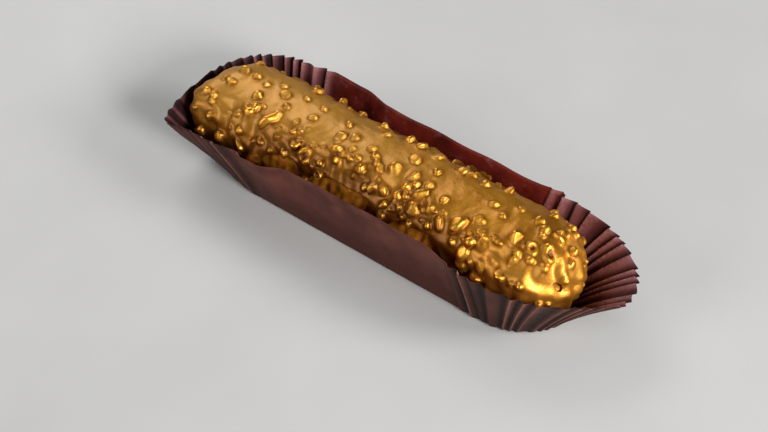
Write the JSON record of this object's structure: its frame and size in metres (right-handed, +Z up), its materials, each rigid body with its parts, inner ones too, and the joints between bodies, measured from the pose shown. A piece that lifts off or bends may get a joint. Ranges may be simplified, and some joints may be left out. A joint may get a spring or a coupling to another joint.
{
  "type": "eclair in a paper case",
  "caption": "Long choux bun under a gold glaze with chopped nuts, lying in a pleated dark brown paper case.",
  "frame": {"origin": "middle of the box's bottom, on the surface that the paper case stands on", "axes": "+X along the eclair towards the widely fanned end of the case, +Y towards the far long side, +Z up"},
  "size_m": [0.1592, 0.0472, 0.0309],
  "materials": {
    "case_paper": "matte",
    "choux": "satin",
    "gold_glaze": "satin"
  },
  "bodies": {
    "root": {"paper_case": "case_paper", "choux_bun": "choux", "nut_glaze": "gold_glaze"}
  },
  "joints": []
}
